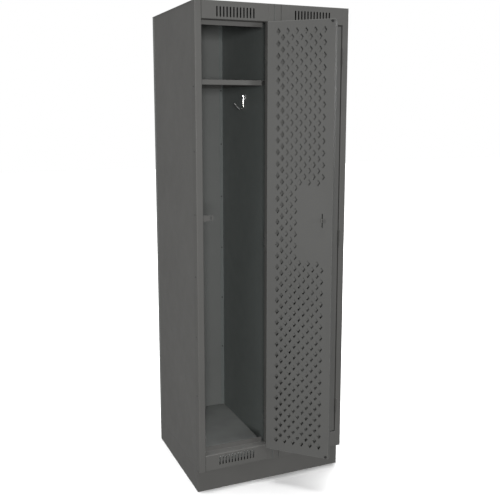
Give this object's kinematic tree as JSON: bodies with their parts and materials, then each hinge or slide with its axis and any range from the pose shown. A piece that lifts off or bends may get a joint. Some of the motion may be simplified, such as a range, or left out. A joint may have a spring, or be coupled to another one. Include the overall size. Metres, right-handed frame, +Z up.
{
  "type": "locker cabinet",
  "caption": "Tall free-standing steel locker with side-by-side compartments, perforated hinged doors, hat shelves, coat hooks and a closed base.",
  "frame": {"origin": "centre of the cabinet's footprint, on the floor under the base's centre brace", "axes": "+Z up, doors face -Y, +X to the right when facing the doors"},
  "size_m": [0.6118, 0.7407, 1.8288],
  "materials": {
    "carcase_paint": "charcoal powder coat, satin, fine orange peel",
    "frame_paint": "charcoal powder coat, satin",
    "door_paint": "charcoal powder coat, satin",
    "base_paint": "charcoal powder coat, satin",
    "shelf_paint": "charcoal powder coat, satin",
    "pull_paint": "charcoal powder coat, satin",
    "rivet_paint": "charcoal powder coat over steel",
    "hook_zinc": "bright zinc plate",
    "pin_steel": "plain steel",
    "bumper_rubber": "moulded rubber, matt"
  },
  "bodies": {
    "cabinet": {"base_front": "base_paint", "base_back": "base_paint", "base_left": "base_paint", "base_right": "base_paint", "base_centre_brace": "base_paint", "side_panel_left": "carcase_paint", "side_panel_right": "carcase_paint", "back_panel_left": "carcase_paint", "back_panel_right": "carcase_paint", "top_panel_left": "carcase_paint", "top_panel_right": "carcase_paint", "centre_partition": "carcase_paint", "floor_pan_left": "shelf_paint", "hat_shelf_left": "shelf_paint", "latch_stile_left": "frame_paint", "hinge_stile_left": "frame_paint", "top_rail_left": "frame_paint", "bottom_rail_left": "frame_paint", "strike_tab_left": "frame_paint", "coat_hooks_left": "hook_zinc", "side_rivets_left": "rivet_paint", "left_hinge_pins": "pin_steel", "left_lower_frame_leaf": "frame_paint", "left_middle_frame_leaf": "frame_paint", "left_upper_frame_leaf": "frame_paint", "floor_pan_right": "shelf_paint", "hat_shelf_right": "shelf_paint", "latch_stile_right": "frame_paint", "hinge_stile_right": "frame_paint", "top_rail_right": "frame_paint", "bottom_rail_right": "frame_paint", "strike_tab_right": "frame_paint", "coat_hooks_right": "hook_zinc", "side_rivets_right": "rivet_paint", "right_hinge_pins": "pin_steel", "right_lower_frame_leaf": "frame_paint", "right_middle_frame_leaf": "frame_paint", "right_upper_frame_leaf": "frame_paint", "frame_hinge_rivets": "rivet_paint", "hook_rivets": "rivet_paint", "shelf_rivets": "rivet_paint", "partition_rivets": "rivet_paint"},
    "left_door": {"left_door": "door_paint", "left_pull": "pull_paint", "left_pull_rivets": "rivet_paint", "left_door_hinge_rivets": "rivet_paint", "left_door_liner": "door_paint", "left_door_bumpers": "bumper_rubber", "left_lower_door_leaf": "frame_paint", "left_middle_door_leaf": "frame_paint", "left_upper_door_leaf": "frame_paint"},
    "right_door": {"right_door": "door_paint", "right_pull": "pull_paint", "right_pull_rivets": "rivet_paint", "right_door_hinge_rivets": "rivet_paint", "right_door_liner": "door_paint", "right_door_bumpers": "bumper_rubber", "right_lower_door_leaf": "frame_paint", "right_middle_door_leaf": "frame_paint", "right_upper_door_leaf": "frame_paint"}
  },
  "joints": [
    {"name": "left_door_hinge", "type": "hinge", "parent": "cabinet", "child": "left_door", "pos_m": [-0.0237, -0.2727, 0.96203], "axis": [0, 0, 1], "range_deg": [-135, 0]},
    {"name": "right_door_hinge", "type": "hinge", "parent": "cabinet", "child": "right_door", "pos_m": [0.2811, -0.2727, 0.96042], "axis": [0, 0, 1], "range_deg": [0, 14]}
  ]
}
